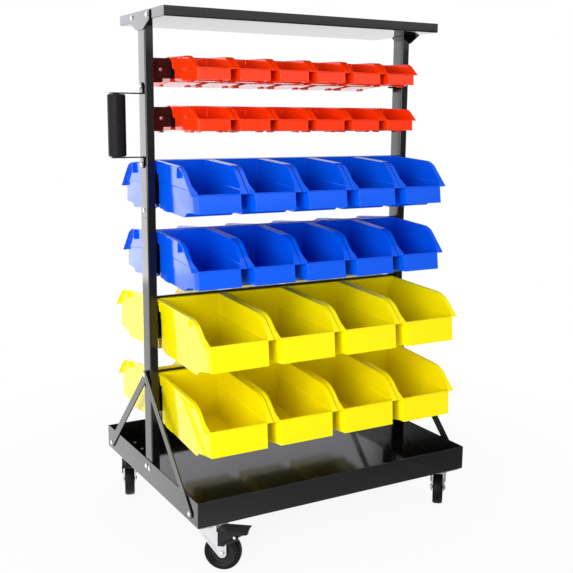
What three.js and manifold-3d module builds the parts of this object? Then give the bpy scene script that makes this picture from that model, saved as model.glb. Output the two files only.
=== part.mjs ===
// Mobile bin cart: two steel trays, two uprights, rails on both faces that carry
// hanging bins in three sizes, and four braked swivel casters.
// Millimetres, +Z up, the front of the cart towards -Y, its handle at -X.
import * as THREE from "three";
import { mergeVertices } from "three/addons/utils/BufferGeometryUtils.js";
import Module from "manifold-3d";

const wasm = await Module();
wasm.setup();

// Fits and cuts.
const gap = 0.3; // clearance between pieces that touch
const overrun = 1; // how far a cut or a weld runs past the face that it opens
const joinOverlap = 0.25; // how far the rim of a bin reaches into the next bin's
const cleanup = 0.01; // slivers left by joins and cuts, under this, are merged away

// Base tray, a folded sheet with its lips up.
const trayLength = 700;
const trayDepth = 552;
const trayUnderside = 108; // over the floor
const trayLipHeight = 56;
const traySheet = 2;
const hemHeight = 9;
const hemFold = 1.2;
const trayFloor = trayUnderside + traySheet;
const trayRim = trayUnderside + trayLipHeight;

// Top tray, a shallow one on the uprights.
const shelfUnderside = 1141.5;
const shelfDepth = 255;
const shelfLipHeight = 21;
const shelfSheet = 2;

// Uprights: rectangular tubes in two lengths, over a sleeve.
const tubeWidth = 20; // along X
const tubeDepth = 40.5; // along Y
const tubeWall = 2;
const seamHeight = 723;
const sleeveLength = 160;
const sleeveWall = 2;
const uprightOuter = trayLength / 2 - traySheet - gap;
const uprightInner = uprightOuter - tubeWidth;
const uprightBottom = trayFloor + gap;
const uprightTop = shelfUnderside - gap;
const shelfLength = 2 * uprightOuter;

// Bolt heads.
const boltHead = { radius: 6.5, height: 4 };
const smallHead = { radius: 4, height: 3 };
const seamBoltRise = 17; // over the seam
const trayBolts = { heightShare: 0.7, offset: 10 }; // the share is of the tray's lip

// Brackets between the top tray and the uprights.
const bracket = {
  sheet: 3,
  topInset: 1.5, // under the top tray's rim
  halfWidth: 55,
  shoulderDrop: 0.5, // under the top tray's underside
  footHalfWidth: 19.5,
  footDrop: 18.5,
  boltOffset: 43.5,
  boltDrop: 9.5,
};

// Braces: flat bars from the uprights out to the base tray's end lips.
const brace = {
  width: 20,
  sheet: 3,
  topHeight: 367.5,
  bottomHeight: 129.5,
  bottomOffset: 240,
  spare: 0.35, // keeps the outer bar of a pair off the inner one where they cross
};

// Push handle on the left upright.
const handle = {
  strapWidth: 18,
  strapSheet: 3,
  reach: 73, // from the upright's face to the end of the arms
  topShare: 0.8556, // of the way from the base tray's floor to the top tray
  span: 138, // over both arms
  earRise: 16.5, // from an arm to its bolt
  rodRadius: 6,
  gripRadius: 19.5,
  gripChamfer: 2,
  gripInset: 58, // from the upright's face to the axis of the grip
  gripEndGap: 0.5,
};

// Rails: a plate, a web and a lip that the bins hook over.
const rail = {
  sheet: 2,
  plateHeight: 43,
  webDrop: 18,
  channel: 5.2,
  boltReach: 22, // from the upright's inner face
};
const tab = { sheet: 3, reach: 28, corner: 6 };
const plateInner = tab.sheet / 2 + gap;
const plateOuter = plateInner + rail.sheet;
const lipInner = plateOuter + rail.channel;
const lipOuter = lipInner + rail.sheet;

// Bins, in a frame whose origin is the outer top corner of the rail's lip.
const hook = { seat: 0.4, play: 0.8, sheet: 2.5, leg: 8, inset: 0.5 };
const binWall = 2;
const rimSheet = 2.5;
const backPlay = 2; // from the rail's lip to a bin's back wall
const floorLean = 2;

// A row fills the way between the uprights, but for the play at its ends. The insets are
// from the middle between two bins to the body's side and to the front panel's edge.
const smallBin = {
  count: 6, endPlay: 41.2, bodyInset: 8.25, panelInset: 11.45, bevel: 8, colour: 0xe8321a,
  rim: 4.8, knee: 95, kneeRound: 9, lip: 124.5, lipDrop: 24, panelHeight: 25, panelLean: 2,
  floorDepth: 52, foot: 92, archStart: 98, archDepth: 49.5, archEnd: 116,
  draft: 1, lipStop: 2, tabDrop: 52, boltDrop: 24,
};
const middleBin = {
  count: 5, endPlay: 0.7, bodyInset: 9.4, panelInset: 16.4, bevel: 15, colour: 0x1357e0,
  rim: 5, knee: 139.6, kneeRound: 16, lip: 194, lipDrop: 51, panelHeight: 39, panelLean: 8,
  floorDepth: 105, foot: 143, archStart: 152, archDepth: 95, archEnd: 178,
  draft: 1.5, lipStop: 2, tabDrop: 94, boltDrop: 34,
};
const largeBin = {
  count: 4, endPlay: 0.5, bodyInset: 9.4, panelInset: 14.8, bevel: 16, colour: 0xf5e608,
  rim: 2.2, knee: 201, kneeRound: 20, lip: 252, lipDrop: 43.4, panelHeight: 54.6, panelLean: 10,
  floorDepth: 121, foot: 194, archStart: 205, archDepth: 110, archEnd: 250,
  draft: 3.5, lipStop: 6, tabDrop: 98, boltDrop: 34,
};

for (const bin of [smallBin, middleBin, largeBin]) {
  bin.pitch = (2 * uprightInner - 2 * bin.endPlay) / bin.count;
  bin.bodyHalf = bin.pitch / 2 - bin.bodyInset;
  bin.panelHalf = bin.pitch / 2 - bin.panelInset;
}

// Levels from the top down: the bins, the height of their rail's top edge as a share of the
// way from the base tray's floor to the top tray, and how the bins lean in degrees on the
// front and on the rear. A bin's own values say how far its rail's lip stops under that edge,
// how far the rail's end tabs hang down, and where their bolts are.
const shelfRise = shelfUnderside - trayFloor;
const levels = [
  { bin: smallBin, heightShare: 0.9278, lean: 1, rearLean: 5 },
  { bin: smallBin, heightShare: 0.8274, lean: 1.5, rearLean: 4 },
  { bin: middleBin, heightShare: 0.714, lean: 3.3, rearLean: 4.8 },
  { bin: middleBin, heightShare: 0.5642, lean: 4, rearLean: 4.8 },
  { bin: largeBin, heightShare: 0.4227, lean: 3, rearLean: 3.8 },
  { bin: largeBin, heightShare: 0.2564, lean: 5.2, rearLean: 5.2 },
].map((level) => ({ ...level, height: trayFloor + level.heightShare * shelfRise }));

// Casters, in a frame on the swivel axis at floor height, trailing towards +X.
const caster = {
  inset: 40, // from the tray's end and side to the swivel axis
  plateLength: 72,
  plateDepth: 70,
  plateSheet: 2.5,
  racewayRadius: 22,
  racewayHeight: 5,
  pinRadius: 5,
  pinHeadRadius: 9,
  pinHeadHeight: 3,
  yokeSheet: 3,
  yokeHalf: 23,
  trail: 34,
  legSheet: 2.5,
  legBack: 16, // from the swivel axis to the leg's leading edge
  legShoulder: 12,
  legEnd: 10,
  wheelRadius: 40,
  wheelWidth: 24,
  wheelSide: 1.2, // from the wheel to a leg
  hubRadius: 12,
  webInset: 5,
  rimRadius: 29,
  treadRound: 4,
  axleRadius: 4,
  axleHeadRadius: 6.5,
  axleHeadHeight: 3.5,
};
const pedal = {
  hingeReach: 62,
  hingeHeight: 79,
  hingeRadius: 3.5,
  hingeEnd: 7,
  hingeHead: 2.5,
  sheet: 2.5,
  start: 26,
  top: 92,
  tipReach: 93,
  tipLowReach: 88,
  tipLow: 86,
  chinReach: 71.5,
  chin: 84.5,
  lugReach: 69.5,
  lugBottom: 73,
  topSheet: 3,
  tongueBottom: 57,
  tongueEnd: 41,
  tongueStep: 64,
};
const casterSpots = [
  { name: "front_left", side: -1, face: -1, heading: -38.9 },
  { name: "front_right", side: 1, face: -1, heading: 50.6 },
  { name: "rear_left", side: -1, face: 1, heading: -109.6 },
  { name: "rear_right", side: 1, face: 1, heading: 141.1 },
];

// Colours and finishes.
const coat = { color: 0x37343a, roughness: 0.35, metalness: 0.3 };
const zinc = { color: 0xcfd2d4, roughness: 0.3, metalness: 0.9 };
const dark = { color: 0x1c1b1d, roughness: 0.5, metalness: 0 };
const gripFinish = { color: 0x2a282b, roughness: 0.6, metalness: 0 };
const arcSteps = 3;
const roundSteps = 10;
const wheelSteps = 18;
const hexSteps = 6;

const group = new THREE.Group();
group.name = "mobile_bin_cart";

// A closed solid from a geometry, for joining and cutting.
function solid(geometry) {
  const bare = geometry.clone();
  bare.deleteAttribute("normal");
  bare.deleteAttribute("uv");
  const welded = mergeVertices(bare);
  return new wasm.Manifold(new wasm.Mesh({
    numProp: 3,
    vertProperties: new Float32Array(welded.attributes.position.array),
    triVerts: new Uint32Array(welded.index.array),
  }));
}

function join(first, ...others) {
  return others.reduce((sum, next) => sum.add(next), first);
}

function cut(first, ...others) {
  return others.reduce((rest, next) => rest.subtract(next), first);
}

// A flat-shaded mesh from a solid, with its own material.
function piece(name, shape, finish) {
  const data = shape.asOriginal().simplify(cleanup).getMesh();
  const geometry = new THREE.BufferGeometry();
  geometry.setAttribute("position", new THREE.BufferAttribute(data.vertProperties, data.numProp));
  geometry.setIndex(new THREE.BufferAttribute(data.triVerts, 1));
  const flat = geometry.toNonIndexed();
  flat.computeVertexNormals();
  const mesh = new THREE.Mesh(flat, new THREE.MeshStandardMaterial(finish));
  mesh.name = name;
  return mesh;
}

// A block between two corners.
function block(low, high) {
  const size = high.map((value, index) => value - low[index]);
  const geometry = new THREE.BoxGeometry(...size);
  geometry.translate(...low.map((value, index) => value + size[index] / 2));
  return solid(geometry);
}

function outline(points) {
  return new THREE.Shape(points.map(([a, b]) => new THREE.Vector2(a, b)));
}

// A side outline in X and Z, made thick along Y about a middle plane.
function acrossY(shape, width, middle = 0) {
  const options = { depth: width, bevelEnabled: false, curveSegments: arcSteps };
  const geometry = new THREE.ExtrudeGeometry(shape, options);
  geometry.rotateX(Math.PI / 2);
  geometry.translate(0, middle + width / 2, 0);
  return geometry;
}

// The same for an outline in -Y (forward) and Z, made thick along X.
function acrossX(shape, width, middle = 0) {
  const geometry = acrossY(shape, width);
  geometry.rotateZ(-Math.PI / 2);
  geometry.translate(middle, 0, 0);
  return geometry;
}

// An upright cylinder between two heights.
function post(radius, low, high, steps = roundSteps) {
  const geometry = new THREE.CylinderGeometry(radius, radius, high - low, steps);
  geometry.rotateX(Math.PI / 2);
  geometry.translate(0, 0, (low + high) / 2);
  return geometry;
}

// A cylinder along Y between two places.
function pinAlongY(radius, low, high, steps = roundSteps) {
  const geometry = new THREE.CylinderGeometry(radius, radius, high - low, steps);
  geometry.translate(0, (low + high) / 2, 0);
  return geometry;
}

// A hexagon bolt head that stands on a face at x, pointing to the given side of it.
function headOnX(size, x, side, y, z) {
  const geometry = new THREE.CylinderGeometry(size.radius, size.radius, size.height + overrun, hexSteps);
  geometry.rotateZ(Math.PI / 2);
  geometry.translate(x + side * (size.height - overrun) / 2, y, z);
  return solid(geometry);
}

// Base tray.
function makeBaseTray() {
  const halfLength = trayLength / 2;
  const halfDepth = trayDepth / 2;
  const shell = block([-halfLength, -halfDepth, trayUnderside], [halfLength, halfDepth, trayRim]);
  const inner = block(
    [-halfLength + traySheet, -halfDepth + traySheet, trayFloor],
    [halfLength - traySheet, halfDepth - traySheet, trayRim + overrun],
  );
  const hems = [-1, 1].map((face) => {
    const out = face * (halfDepth - traySheet / 2);
    const into = face * (halfDepth - traySheet - hemFold);
    return block(
      [-halfLength + traySheet / 2, Math.min(out, into), trayRim - hemHeight],
      [halfLength - traySheet / 2, Math.max(out, into), trayRim],
    );
  });
  const bolts = [];
  const boltHeight = trayUnderside + trayBolts.heightShare * trayLipHeight;
  for (const side of [-1, 1]) {
    for (const face of [-1, 1]) {
      bolts.push(headOnX(boltHead, side * halfLength, side, face * trayBolts.offset, boltHeight));
    }
  }
  return join(cut(shell, inner), ...hems, ...bolts);
}
group.add(piece("base_tray", makeBaseTray(), coat));

// Top tray.
function makeTopTray() {
  const halfLength = shelfLength / 2;
  const halfDepth = shelfDepth / 2;
  const rim = shelfUnderside + shelfLipHeight;
  const shell = block([-halfLength, -halfDepth, shelfUnderside], [halfLength, halfDepth, rim]);
  const inner = block(
    [-halfLength + shelfSheet, -halfDepth + shelfSheet, shelfUnderside + shelfSheet],
    [halfLength - shelfSheet, halfDepth - shelfSheet, rim + overrun],
  );
  return cut(shell, inner);
}
group.add(piece("top_tray", makeTopTray(), coat));

// Uprights. A tab for each rail stands on the inner face, in the middle of the tube.
function makeTab(side, level) {
  const bottom = level.height - level.bin.tabDrop;
  const shape = new THREE.Shape();
  shape.moveTo(uprightInner + overrun, level.height);
  shape.lineTo(uprightInner + overrun, bottom);
  shape.lineTo(uprightInner - tab.reach + tab.corner, bottom);
  shape.quadraticCurveTo(
    uprightInner - tab.reach, bottom,
    uprightInner - tab.reach, bottom + tab.corner,
  );
  shape.lineTo(uprightInner - tab.reach, level.height);
  const geometry = acrossY(shape, tab.sheet);
  if (side < 0) {
    geometry.rotateZ(Math.PI);
  }
  return solid(geometry);
}

function makeTube(side, low, high) {
  const faces = [side * uprightInner, side * uprightOuter].sort((a, b) => a - b);
  const half = tubeDepth / 2;
  const shell = block([faces[0], -half, low], [faces[1], half, high]);
  const bore = block(
    [faces[0] + tubeWall, -half + tubeWall, low - overrun],
    [faces[1] - tubeWall, half - tubeWall, high + overrun],
  );
  const tabs = levels
    .filter((level) => level.height > low && level.height < high)
    .map((level) => makeTab(side, level));
  const tube = cut(join(shell, ...tabs), bore);
  return tube;
}

function makeSleeve(side) {
  const middle = side * (uprightOuter - tubeWidth / 2);
  const halfWidth = tubeWidth / 2 - tubeWall - gap;
  const halfDepth = tubeDepth / 2 - tubeWall - gap;
  const low = seamHeight - sleeveLength / 2;
  const high = seamHeight + sleeveLength / 2;
  const shell = block([middle - halfWidth, -halfDepth, low], [middle + halfWidth, halfDepth, high]);
  const bore = block(
    [middle - halfWidth + sleeveWall, -halfDepth + sleeveWall, low - overrun],
    [middle + halfWidth - sleeveWall, halfDepth - sleeveWall, high + overrun],
  );
  return cut(shell, bore);
}

for (const [side, name] of [[-1, "left"], [1, "right"]]) {
  const seamBolt = headOnX(boltHead, side * uprightOuter, side, 0, seamHeight + seamBoltRise);
  const upper = join(makeTube(side, seamHeight + gap, uprightTop), seamBolt);
  const bore = makeBoreAt(side);
  group.add(piece(`upright_${name}_lower`, makeTube(side, uprightBottom, seamHeight), coat));
  group.add(piece(`upright_${name}_upper`, cut(upper, bore), coat));
  group.add(piece(`upright_sleeve_${name}`, makeSleeve(side), zinc));
}

// The hollow of a tube, so that nothing added to it reaches the sleeve.
function makeBoreAt(side) {
  const middle = side * (uprightOuter - tubeWidth / 2);
  const halfWidth = tubeWidth / 2 - tubeWall;
  const halfDepth = tubeDepth / 2 - tubeWall;
  return block([middle - halfWidth, -halfDepth, uprightBottom], [middle + halfWidth, halfDepth, uprightTop]);
}

// Brackets.
function makeBracket(side) {
  const top = shelfUnderside + shelfLipHeight - bracket.topInset;
  const shoulder = shelfUnderside - bracket.shoulderDrop;
  const foot = shelfUnderside - bracket.footDrop;
  const shape = outline([
    [-bracket.halfWidth, top],
    [-bracket.halfWidth, shoulder],
    [-bracket.footHalfWidth, foot],
    [bracket.footHalfWidth, foot],
    [bracket.halfWidth, shoulder],
    [bracket.halfWidth, top],
  ]);
  const inner = side * (uprightOuter + gap);
  const plate = acrossX(shape, bracket.sheet, inner + side * bracket.sheet / 2);
  const heads = [-1, 1].map((face) => headOnX(
    boltHead,
    inner + side * bracket.sheet,
    side,
    face * bracket.boltOffset,
    top - bracket.boltDrop,
  ));
  return join(solid(plate), ...heads);
}
group.add(piece("top_bracket_left", makeBracket(-1), coat));
group.add(piece("top_bracket_right", makeBracket(1), coat));

// Braces. The rear bar of a pair lies on the upright and the front one lies on it.
function makeBrace(length, outerBar) {
  const half = brace.width / 2;
  const shape = new THREE.Shape();
  shape.moveTo(-half, 0);
  shape.lineTo(-half, length);
  shape.absarc(0, length, half, Math.PI, 0, true);
  shape.lineTo(half, 0);
  shape.absarc(0, 0, half, 0, -Math.PI, true);
  const bar = solid(acrossX(shape, brace.sheet, brace.sheet / 2));
  const heads = [headOnX(boltHead, brace.sheet, 1, 0, 0)];
  if (outerBar) {
    heads.push(headOnX(boltHead, brace.sheet, 1, 0, length));
  }
  return join(bar, ...heads);
}

function placeBrace(name, side, face, outerBar) {
  const stand = outerBar ? brace.sheet + gap + brace.spare : 0;
  const topFace = uprightOuter + gap + stand;
  const lipFace = trayLength / 2 + gap;
  const rise = brace.topHeight - brace.bottomHeight;
  const leanShare = (lipFace - topFace) / (brace.topHeight - trayRim);
  const top = new THREE.Vector3(side * topFace, 0, brace.topHeight);
  const bottom = new THREE.Vector3(
    side * (topFace + leanShare * rise),
    face * brace.bottomOffset,
    brace.bottomHeight,
  );
  const along = top.clone().sub(bottom);
  const mesh = piece(name, makeBrace(along.length(), outerBar), coat);
  const up = along.normalize();
  const across = new THREE.Vector3(0, side, 0).addScaledVector(up, -side * up.y).normalize();
  const out = across.clone().cross(up);
  mesh.quaternion.setFromRotationMatrix(new THREE.Matrix4().makeBasis(out, across, up));
  mesh.position.copy(bottom);
  group.add(mesh);
}
for (const [side, name] of [[-1, "left"], [1, "right"]]) {
  placeBrace(`brace_${name}_front`, side, -1, true);
  placeBrace(`brace_${name}_rear`, side, 1, false);
}

// Push handle: ears, two arms and a rod in one strap, and the grip on the rod.
const gripX = -(uprightOuter + handle.gripInset);
const upperArmTop = trayFloor + handle.topShare * shelfRise;
const lowerArmBottom = upperArmTop - handle.span;
const upperArmBottom = upperArmTop - handle.strapSheet;
const lowerArmTop = lowerArmBottom + handle.strapSheet;

function makeEar(arm, direction) {
  const half = handle.strapWidth / 2;
  const end = arm + direction * handle.earRise;
  const shape = new THREE.Shape();
  shape.moveTo(-half, arm);
  shape.lineTo(-half, end);
  shape.absarc(0, end, half, Math.PI, 0, direction > 0);
  shape.lineTo(half, arm);
  const inner = -(uprightOuter + gap);
  const plate = solid(acrossX(shape, handle.strapSheet, inner - handle.strapSheet / 2));
  return join(plate, headOnX(boltHead, inner - handle.strapSheet, -1, 0, end));
}

function makeStrap() {
  const half = handle.strapWidth / 2;
  const inner = -(uprightOuter + gap);
  const outer = -(uprightOuter + handle.reach);
  const upperArm = block([outer, -half, upperArmBottom], [inner, half, upperArmTop]);
  const lowerArm = block([outer, -half, lowerArmBottom], [inner, half, lowerArmTop]);
  const rod = post(handle.rodRadius, lowerArmTop - overrun, upperArmBottom + overrun);
  rod.translate(gripX, 0, 0);
  return join(
    upperArm,
    lowerArm,
    solid(rod),
    makeEar(upperArmBottom, 1),
    makeEar(lowerArmTop, -1),
  );
}
group.add(piece("handle_strap", makeStrap(), coat));

function makeGrip() {
  const low = lowerArmTop + handle.gripEndGap;
  const high = upperArmBottom - handle.gripEndGap;
  const bore = handle.rodRadius + gap;
  const face = handle.gripRadius - handle.gripChamfer;
  const points = [
    [bore, low],
    [face, low],
    [handle.gripRadius, low + handle.gripChamfer],
    [handle.gripRadius, high - handle.gripChamfer],
    [face, high],
    [bore, high],
    [bore, low],
  ].map(([a, b]) => new THREE.Vector2(a, b));
  const geometry = new THREE.LatheGeometry(points, wheelSteps);
  geometry.rotateX(Math.PI / 2);
  geometry.translate(gripX, 0, 0);
  return solid(geometry);
}
group.add(piece("handle_grip", makeGrip(), gripFinish));

// Rails, the same on both faces of the cart.
function makeRail(level) {
  const lipTop = -level.bin.lipStop;
  const shape = outline([
    [plateInner, 0],
    [plateInner, -rail.plateHeight],
    [plateOuter, -rail.plateHeight],
    [plateOuter, -rail.webDrop],
    [lipOuter, -rail.webDrop],
    [lipOuter, lipTop],
    [lipInner, lipTop],
    [lipInner, -rail.webDrop + rail.sheet],
    [plateOuter, -rail.webDrop + rail.sheet],
    [plateOuter, 0],
  ]);
  const bar = solid(acrossX(shape, 2 * (uprightInner - gap)));
  const heads = [-1, 1].map((side) => {
    const low = -plateOuter - smallHead.height;
    const head = pinAlongY(smallHead.radius, low, -plateOuter + rail.sheet / 2, hexSteps);
    head.translate(side * (uprightInner - rail.boltReach), 0, -level.bin.boltDrop);
    return solid(head);
  });
  return join(bar, ...heads);
}

// Bins. The outline of a bin's upper edge, sunk under the rim by a given amount.
function upperEdge(bin, start, sink) {
  const top = bin.rim - sink;
  const slope = new THREE.Vector2(bin.lip - bin.knee, -bin.lipDrop).normalize();
  return [
    [start, top],
    [bin.knee - bin.kneeRound, top],
    [bin.knee + slope.x * bin.kneeRound, top + slope.y * bin.kneeRound],
    [bin.lip, top - bin.lipDrop],
  ];
}

// The outer form of a bin, from its back wall to its front panel.
function bodyOutline(bin) {
  const panelBottom = bin.rim - bin.lipDrop - bin.panelHeight;
  return outline([
    ...upperEdge(bin, backPlay, rimSheet / 2),
    [bin.lip + bin.panelLean, panelBottom],
    [bin.archEnd, panelBottom],
    [bin.archStart, bin.rim - bin.archDepth],
    [bin.foot, bin.rim - bin.floorDepth],
    [backPlay + floorLean, bin.rim - bin.floorDepth],
  ]);
}

// The hollow of a bin, open at the top.
function hollowOutline(bin) {
  const above = bin.rim + rimSheet;
  const panelBottom = bin.rim - bin.lipDrop - bin.panelHeight;
  return outline([
    [backPlay + binWall, above],
    [bin.lip - binWall, above],
    [bin.lip - binWall, bin.rim - bin.lipDrop],
    [bin.lip + bin.panelLean - binWall, panelBottom + binWall],
    [bin.archEnd, panelBottom + binWall],
    [bin.archStart, bin.rim - bin.archDepth + binWall],
    [bin.foot, bin.rim - bin.floorDepth + binWall],
    [backPlay + floorLean + binWall, bin.rim - bin.floorDepth + binWall],
  ]);
}

// Narrows a form towards the floor of its bin, as moulded side walls do.
function drafted(bin, geometry) {
  const places = geometry.attributes.position;
  for (let index = 0; index < places.count; index += 1) {
    const depthShare = (bin.rim - places.getZ(index)) / bin.floorDepth;
    const x = places.getX(index);
    places.setX(index, x - Math.sign(x) * bin.draft * depthShare);
  }
  return solid(geometry);
}

// A plan form with bevelled front corners, leaning with the front panel.
function planForm(bin, half, panelHalf, front) {
  const shape = outline([
    [-half, -backPlay],
    [-half, front - bin.bevel],
    [-panelHalf, front],
    [-panelHalf, front + bin.bevel],
    [panelHalf, front + bin.bevel],
    [panelHalf, front],
    [half, front - bin.bevel],
    [half, -backPlay],
  ]);
  const options = { depth: 2 * bin.floorDepth, bevelEnabled: false };
  const geometry = new THREE.ExtrudeGeometry(shape, options);
  geometry.rotateZ(Math.PI);
  geometry.translate(0, 0, bin.rim - 1.5 * bin.floorDepth);
  const places = geometry.attributes.position;
  for (let index = 0; index < places.count; index += 1) {
    const leanShare = (bin.rim - bin.lipDrop - places.getZ(index)) / bin.panelHeight;
    places.setY(index, places.getY(index) - leanShare * bin.panelLean);
  }
  return drafted(bin, geometry);
}

// The hook: a lip along the back of the rim that drops into the rail's channel.
function makeHook(bin) {
  const legEnd = -(rail.sheet + hook.play);
  const legBack = legEnd - hook.sheet;
  const shape = outline([
    [2 * backPlay, bin.rim],
    [legBack, bin.rim],
    [legBack, -hook.leg],
    [legEnd, -hook.leg],
    [legEnd, hook.seat],
    [2 * backPlay, hook.seat],
  ]);
  return solid(acrossX(shape, bin.pitch - 2 * hook.inset));
}

// The rim: a band along the upper edge, as wide as the bin's pitch.
function makeRim(bin) {
  const fall = Math.atan2(bin.lipDrop, bin.lip - bin.knee);
  const under = bin.rim - rimSheet;
  const knee = bin.knee - rimSheet * Math.tan(fall / 2);
  const shape = outline([
    ...upperEdge(bin, backPlay, 0),
    [bin.lip, bin.rim - bin.lipDrop - rimSheet / Math.cos(fall)],
    [knee + Math.cos(fall) * bin.kneeRound, under - Math.sin(fall) * bin.kneeRound],
    [knee - bin.kneeRound, under],
    [backPlay, under],
  ]);
  return solid(acrossX(shape, bin.pitch + 2 * joinOverlap));
}

function makeBin(bin) {
  const body = drafted(bin, acrossX(bodyOutline(bin), 2 * bin.bodyHalf))
    .intersect(planForm(bin, bin.bodyHalf + overrun, bin.panelHalf, bin.lip));
  const hollow = drafted(bin, acrossX(hollowOutline(bin), 2 * (bin.bodyHalf - binWall)))
    .intersect(planForm(bin, bin.bodyHalf, bin.panelHalf - binWall, bin.lip - binWall));
  return cut(join(body, makeRim(bin), makeHook(bin)), hollow);
}

// A row: its bins joined at their rims.
function makeRow(bin) {
  const one = makeBin(bin);
  const row = [];
  for (let index = 0; index < bin.count; index += 1) {
    row.push(one.translate([(index - (bin.count - 1) / 2) * bin.pitch, 0, 0]));
  }
  return join(...row);
}

const rows = new Map([smallBin, middleBin, largeBin].map((bin) => [bin, makeRow(bin)]));
for (const [face, turn] of [["front", 0], ["rear", Math.PI]]) {
  const half = new THREE.Group();
  half.name = `${face}_face`;
  half.rotation.z = turn;
  group.add(half);
  levels.forEach((level, index) => {
    const number = index + 1;
    const bar = piece(`rail_${face}_${number}`, makeRail(level), coat);
    bar.position.z = level.height;
    half.add(bar);
    const plastic = { color: level.bin.colour, roughness: 0.4, metalness: 0 };
    const row = piece(`bins_${face}_${number}`, rows.get(level.bin), plastic);
    row.position.set(0, -lipOuter, level.height - level.bin.lipStop);
    row.rotation.x = THREE.MathUtils.degToRad(turn ? level.rearLean : level.lean);
    half.add(row);
  });
}

// Casters.
const plateTop = trayUnderside - gap;
const plateBottom = plateTop - caster.plateSheet;
const racewayBottom = plateBottom - caster.racewayHeight;
const yokeTop = racewayBottom - gap;
const yokeBottom = yokeTop - caster.yokeSheet;
const legInner = caster.wheelWidth / 2 + caster.wheelSide;
const legOuter = legInner + caster.legSheet;
const cheekInner = legOuter + gap;
const cheekOuter = cheekInner + pedal.sheet;
const axleHeight = caster.wheelRadius;

function makeCasterPlate() {
  const halfLength = caster.plateLength / 2;
  const halfDepth = caster.plateDepth / 2;
  const headTop = yokeBottom - gap;
  return join(
    block([-halfLength, -halfDepth, plateBottom], [halfLength, halfDepth, plateTop]),
    solid(post(caster.racewayRadius, racewayBottom, plateBottom + overrun)),
    solid(post(caster.pinRadius, headTop - overrun, racewayBottom + overrun)),
    solid(post(caster.pinHeadRadius, headTop - caster.pinHeadHeight, headTop)),
  );
}

function makeFork() {
  const leg = new THREE.Shape();
  const underPedal = pedal.top - pedal.topSheet - gap;
  leg.moveTo(-caster.legBack, yokeTop);
  leg.lineTo(-caster.legBack, yokeBottom - caster.legShoulder);
  leg.absarc(caster.trail, axleHeight, caster.legEnd, -Math.PI * 0.82, 0, false);
  leg.lineTo(caster.trail + caster.legEnd, pedal.tongueStep - pedal.hingeEnd / 2);
  leg.absarc(pedal.hingeReach, pedal.hingeHeight, pedal.hingeEnd, -Math.PI / 2, Math.PI / 2, false);
  leg.lineTo(pedal.tongueEnd, underPedal - overrun);
  leg.lineTo(caster.yokeHalf, underPedal - overrun);
  leg.lineTo(caster.yokeHalf, yokeTop);
  const parts = [-1, 1].map((side) => {
    const middle = side * (legInner + legOuter) / 2;
    const stub = pinAlongY(pedal.hingeRadius, legInner, cheekOuter + pedal.hingeHead);
    if (side < 0) {
      stub.rotateX(Math.PI);
    }
    stub.translate(pedal.hingeReach, 0, pedal.hingeHeight);
    return join(solid(acrossY(leg, caster.legSheet, middle)), solid(stub));
  });
  const yoke = block([-caster.yokeHalf, -legOuter, yokeBottom], [caster.yokeHalf, legOuter, yokeTop]);
  const disc = solid(post(caster.yokeHalf, yokeBottom, yokeTop));
  const hole = solid(post(caster.pinRadius + gap, yokeBottom - overrun, yokeTop + overrun));
  const axleHole = pinAlongY(caster.axleRadius + gap, -legOuter - overrun, legOuter + overrun);
  axleHole.translate(caster.trail, 0, axleHeight);
  return cut(join(yoke, disc, ...parts), hole, solid(axleHole));
}

function makeWheel() {
  const half = caster.wheelWidth / 2;
  const web = half - caster.webInset;
  const bore = caster.axleRadius + gap;
  const points = [
    [bore, -half],
    [caster.hubRadius, -half],
    [caster.hubRadius, -web],
    [caster.rimRadius, -web],
    [caster.rimRadius, -half],
    [caster.wheelRadius - caster.treadRound, -half],
    [caster.wheelRadius, -half + caster.treadRound],
    [caster.wheelRadius, half - caster.treadRound],
    [caster.wheelRadius - caster.treadRound, half],
    [caster.rimRadius, half],
    [caster.rimRadius, web],
    [caster.hubRadius, web],
    [caster.hubRadius, half],
    [bore, half],
    [bore, -half],
  ].map(([a, b]) => new THREE.Vector2(a, b));
  return solid(new THREE.LatheGeometry(points, wheelSteps));
}

function makeAxle() {
  const face = legOuter + gap;
  const end = face + caster.axleHeadHeight;
  return join(
    solid(pinAlongY(caster.axleRadius, -face - overrun, face + overrun)),
    solid(pinAlongY(caster.axleHeadRadius, -end, -face, hexSteps)),
    solid(pinAlongY(caster.axleHeadRadius, face, end, hexSteps)),
  );
}

function makePedal() {
  const cheek = outline([
    [pedal.start, pedal.top],
    [pedal.start, pedal.tongueBottom],
    [pedal.tongueEnd, pedal.tongueBottom],
    [pedal.tongueEnd, pedal.tongueStep - pedal.hingeEnd / 2],
    [pedal.lugReach, pedal.lugBottom],
    [pedal.chinReach, pedal.chin],
    [pedal.tipLowReach, pedal.tipLow],
    [pedal.tipReach, pedal.top],
  ]);
  const cheeks = [-1, 1].map((side) => {
    const middle = side * (cheekInner + cheekOuter) / 2;
    return solid(acrossY(cheek, pedal.sheet, middle));
  });
  const tread = block(
    [pedal.start, -cheekOuter, pedal.top - pedal.topSheet],
    [pedal.tipReach - pedal.topSheet, cheekOuter, pedal.top],
  );
  const hole = pinAlongY(pedal.hingeRadius + gap, -cheekOuter - overrun, cheekOuter + overrun);
  hole.translate(pedal.hingeReach, 0, pedal.hingeHeight);
  return cut(join(tread, ...cheeks), solid(hole));
}

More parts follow.
